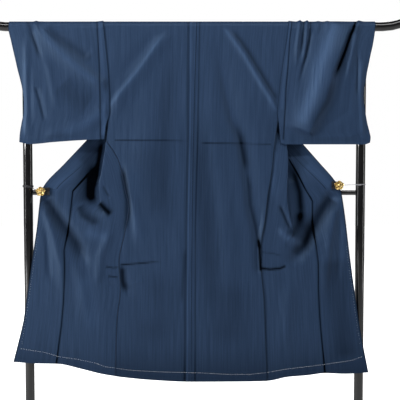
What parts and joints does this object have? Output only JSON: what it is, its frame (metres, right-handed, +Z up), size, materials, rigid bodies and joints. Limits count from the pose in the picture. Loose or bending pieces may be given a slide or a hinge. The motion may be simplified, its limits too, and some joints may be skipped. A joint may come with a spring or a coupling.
{
  "type": "kimono on a stand",
  "caption": "Plain navy silk men's kimono spread by its sleeves on a black lacquered kimono stand, seen from the back, with its front panels clipped open.",
  "frame": {"origin": "on the floor midway between the stand's feet, straight below the top rod", "axes": "+Z up; +X along the rod towards the wearer's right sleeve as seen from the kimono's back; the kimono's back faces -Y and its open front +Y"},
  "size_m": [1.7142, 0.4, 1.6652],
  "materials": {
    "navy_silk": "soft satin silk",
    "black_lacquer": "black gloss lacquer",
    "gilt_brass": "satin gilt",
    "black_clip": "black enamel",
    "black_cord": "matte braid",
    "grey_cord": "matte twist"
  },
  "bodies": {
    "root": {"back_left_upper": "navy_silk", "back_left_lower": "navy_silk", "back_right_upper": "navy_silk", "back_right_lower": "navy_silk", "front_left_upper": "navy_silk", "front_left_lower": "navy_silk", "front_right_upper": "navy_silk", "front_right_lower": "navy_silk", "okumi_left": "navy_silk", "okumi_right": "navy_silk", "collar_left": "navy_silk", "collar_right": "navy_silk", "sleeve_left_back": "navy_silk", "sleeve_left_front": "navy_silk", "sleeve_right_back": "navy_silk", "sleeve_right_front": "navy_silk", "stand_top_rod": "black_lacquer", "stand_upright_left": "black_lacquer", "stand_upright_right": "black_lacquer", "stand_foot_left": "black_lacquer", "stand_foot_right": "black_lacquer", "stand_crossbar": "black_lacquer", "clip_left_jaw": "black_clip", "clip_right_jaw": "black_clip", "clip_left_blossom": "gilt_brass", "clip_right_blossom": "gilt_brass", "clip_left_cord": "black_cord", "clip_right_cord": "grey_cord"}
  },
  "joints": []
}
